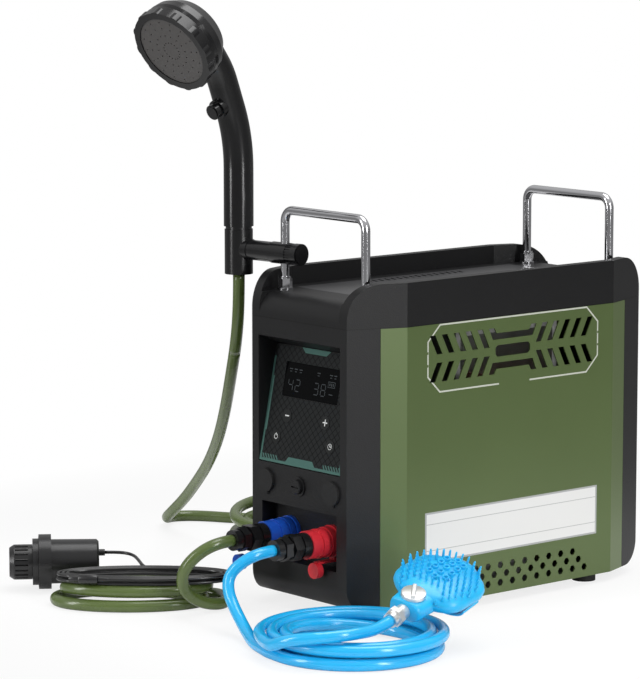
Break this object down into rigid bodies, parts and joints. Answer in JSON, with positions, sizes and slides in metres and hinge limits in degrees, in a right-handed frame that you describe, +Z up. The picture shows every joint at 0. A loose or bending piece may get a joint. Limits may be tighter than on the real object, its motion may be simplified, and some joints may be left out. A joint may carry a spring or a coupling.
{
  "type": "portable propane water heater",
  "caption": "Portable gas water heater with tray top, carrying handles, sloped control panel, hand shower on a holder, lift pump and wash brush on coiled hoses.",
  "frame": {"origin": "floor, at the centre of the four feet", "axes": "+Z up, -Y out of the control face, +X to the right of someone who faces the controls"},
  "size_m": [0.6634, 0.5633, 0.5721],
  "materials": {
    "black_plastic": "fine-grained moulding",
    "olive_panel": "satin powder coat",
    "dark_steel": "satin",
    "rubber": "matt",
    "chrome": "polished",
    "panel_plate": "printed film",
    "lens": "gloss",
    "key": "satin",
    "board": "matt",
    "brass": "machined",
    "blue_plastic": "satin",
    "red_plastic": "satin",
    "coupling_plastic": "satin",
    "steel": "mill finish",
    "copper": "mill finish",
    "spray_ring": "satin",
    "spray_face": "satin",
    "brush_blue": "satin",
    "strap": "woven",
    "hose": "satin",
    "wash_hose": "satin",
    "cable": "satin"
  },
  "bodies": {
    "heater": {"front_cap": "black_plastic", "rear_cap": "black_plastic", "top_cover": "black_plastic", "panel_sockets": "black_plastic", "fuse_holder": "black_plastic", "pump_body": "black_plastic", "flow_switch": "black_plastic", "right_panel": "olive_panel", "left_panel": "olive_panel", "top_plate": "dark_steel", "base_plate": "dark_steel", "feet": "rubber", "front_handle": "chrome", "rear_handle": "chrome", "handle_collars": "chrome", "control_plate": "panel_plate", "display_lens": "lens", "control_board": "board", "water_nipples": "brass", "gas_inlet": "brass", "gas_valve": "brass", "inlet_collar": "blue_plastic", "outlet_collar": "red_plastic", "inlet_coupling": "coupling_plastic", "outlet_coupling": "coupling_plastic", "shower_coupling": "coupling_plastic", "burner": "steel", "combustion_chamber": "steel", "flue_hood": "steel", "heat_exchanger": "copper", "brush_body": "brush_blue", "brush_fitting": "brush_blue", "brush_strap": "strap", "shower_hose": "hose", "shower_hose_coil": "hose", "pump_hose": "hose", "pump_hose_hank": "hose", "pump_hose_tail": "hose", "wash_hose": "wash_hose", "wash_hose_coil": "wash_hose", "wash_hose_tail": "wash_hose", "pump_lead": "cable", "pump_lead_hank": "cable"},
    "arm": {"holder_arm": "black_plastic"},
    "hand_shower": {"holder_clip": "black_plastic", "handset_body": "black_plastic", "spray_plate": "spray_face", "shower_hose_cone": "coupling_plastic"},
    "knob": {"holder_knob": "black_plastic"},
    "spray_ring": {"spray_ring": "spray_ring"},
    "handset_button": {"handset_button": "spray_ring"},
    "pump_socket_cover": {"pump_socket_cover": "rubber"},
    "power_socket_cover": {"power_socket_cover": "rubber"},
    "fuse_cap": {"fuse_cap": "black_plastic"},
    "brush_knob": {"brush_knob": "brush_blue"},
    "pump_strainer": {"pump_strainer": "black_plastic"},
    "key_minus": {"key_minus": "key"},
    "key_plus": {"key_plus": "key"},
    "key_power": {"key_power": "key"},
    "key_timer": {"key_timer": "key"}
  },
  "joints": [
    {"name": "arm_swivel", "type": "hinge", "parent": "heater", "child": "arm", "pos_m": [-0.058, -0.158, 0.3325], "axis": [0, 0, 1], "range_deg": [-35, 60], "deforming": ["shower_hose"]},
    {"name": "clip_tilt", "type": "hinge", "parent": "arm", "child": "hand_shower", "pos_m": [-0.058, -0.158, 0.3325], "axis": [0.9903, 0.1392, 0], "range_deg": [-25, 25]},
    {"name": "holder_knob_turn", "type": "hinge", "parent": "arm", "child": "knob", "pos_m": [-0.058, -0.158, 0.3325], "axis": [0.9903, 0.1392, 0], "range_deg": [-180, 180]},
    {"name": "spray_ring_turn", "type": "hinge", "parent": "hand_shower", "child": "spray_ring", "pos_m": [-0.10475, -0.25646, 0.5245], "axis": [0.1183, -0.8416, -0.527], "range_deg": [0, 90]},
    {"name": "handset_button_press", "type": "slide", "parent": "hand_shower", "child": "handset_button", "axis": [-0.129, 0.9182, 0.3746], "range_m": [0, 0.0025], "stiffness_N_per_m": 800, "springref_m": -0.001},
    {"name": "key_minus_press", "type": "slide", "parent": "heater", "child": "key_minus", "axis": [0, 0.9806, -0.1959], "range_m": [0, 0.0008], "stiffness_N_per_m": 900, "springref_m": -0.0005},
    {"name": "key_plus_press", "type": "slide", "parent": "heater", "child": "key_plus", "axis": [0, 0.9806, -0.1959], "range_m": [0, 0.0008], "stiffness_N_per_m": 900, "springref_m": -0.0005},
    {"name": "key_power_press", "type": "slide", "parent": "heater", "child": "key_power", "axis": [0, 0.9806, -0.1959], "range_m": [0, 0.0008], "stiffness_N_per_m": 900, "springref_m": -0.0005},
    {"name": "key_timer_press", "type": "slide", "parent": "heater", "child": "key_timer", "axis": [0, 0.9806, -0.1959], "range_m": [0, 0.0008], "stiffness_N_per_m": 900, "springref_m": -0.0005},
    {"name": "pump_cover_hinge", "type": "hinge", "parent": "heater", "child": "pump_socket_cover", "pos_m": [-0.0475, -0.1901, 0.1072], "axis": [1, 0, 0], "range_deg": [0, 90]},
    {"name": "power_cover_hinge", "type": "hinge", "parent": "heater", "child": "power_socket_cover", "pos_m": [0.0475, -0.1901, 0.1072], "axis": [1, 0, 0], "range_deg": [0, 90]},
    {"name": "fuse_cap_turn", "type": "hinge", "parent": "heater", "child": "fuse_cap", "pos_m": [0, -0.19, 0.1203], "axis": [0, -1, 0], "range_deg": [0, 90]},
    {"name": "brush_knob_turn", "type": "hinge", "parent": "heater", "child": "brush_knob", "pos_m": [0.1943, -0.21984, 0.05278], "axis": [0.3374, -0.1907, 0.9219], "range_deg": [0, 90]},
    {"name": "strainer_twist", "type": "hinge", "parent": "heater", "child": "pump_strainer", "pos_m": [-0.239, -0.311, 0.027], "axis": [-0.5736, -0.8192, 0], "range_deg": [0, 30]}
  ]
}
